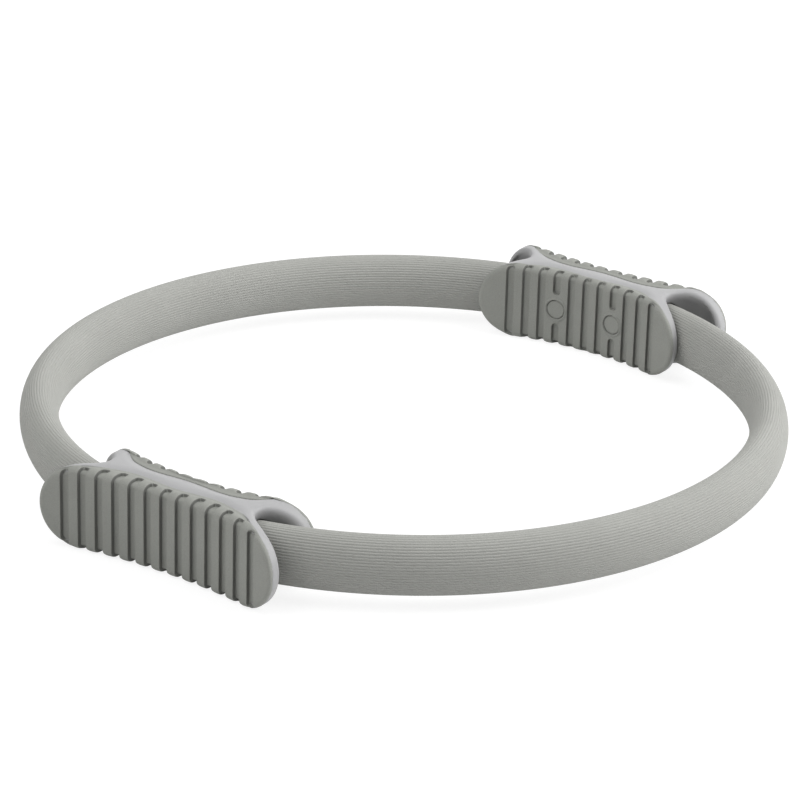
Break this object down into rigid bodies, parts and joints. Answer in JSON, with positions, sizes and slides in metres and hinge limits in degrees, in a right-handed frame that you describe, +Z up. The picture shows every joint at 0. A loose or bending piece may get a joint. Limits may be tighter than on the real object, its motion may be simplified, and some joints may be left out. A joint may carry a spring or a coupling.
{
  "type": "pilates ring",
  "caption": "Sprung foam-covered exercise ring, squeezed between two opposite handles with ribbed rubber grips inside and out.",
  "frame": {"origin": "centre of the ring, on the surface that it lies on", "axes": "+X from the left handle to the right handle, along the line in which the ring is squeezed; +Y across the ring to its back half; +Z up, along the ring's axis"},
  "size_m": [0.3948, 0.38, 0.042],
  "materials": {
    "foam": "matt closed-cell foam, finely ribbed lengthwise",
    "grip": "matt, fine grain",
    "shell": "satin, fine grain",
    "fibreglass": "smooth glass fibre laminate",
    "steel": "zinc plated",
    "insert_brass": "machined"
  },
  "bodies": {
    "left_handle": {"left_outer_shell": "shell", "left_inner_shell": "shell", "left_outer_grip": "grip", "left_inner_grip": "grip", "left_front_screw": "steel", "left_back_screw": "steel", "left_front_insert": "insert_brass", "left_back_insert": "insert_brass", "left_front_cap": "grip", "left_back_cap": "grip", "front_sleeve": "foam", "back_sleeve": "foam", "front_inner_strip": "fibreglass", "front_middle_strip": "fibreglass", "front_outer_strip": "fibreglass", "back_inner_strip": "fibreglass", "back_middle_strip": "fibreglass", "back_outer_strip": "fibreglass"},
    "right_handle": {"right_outer_shell": "shell", "right_inner_shell": "shell", "right_outer_grip": "grip", "right_inner_grip": "grip", "right_front_screw": "steel", "right_back_screw": "steel", "right_front_insert": "insert_brass", "right_back_insert": "insert_brass", "right_front_cap": "grip", "right_back_cap": "grip"}
  },
  "joints": [
    {"name": "squeeze", "type": "slide", "parent": "left_handle", "child": "right_handle", "axis": [-1, 0, 0], "range_m": [-0.02, 0.06], "stiffness_N_per_m": 2000, "deforming": ["front_sleeve", "back_sleeve", "front_inner_strip", "front_middle_strip", "front_outer_strip", "back_inner_strip", "back_middle_strip", "back_outer_strip"]}
  ]
}
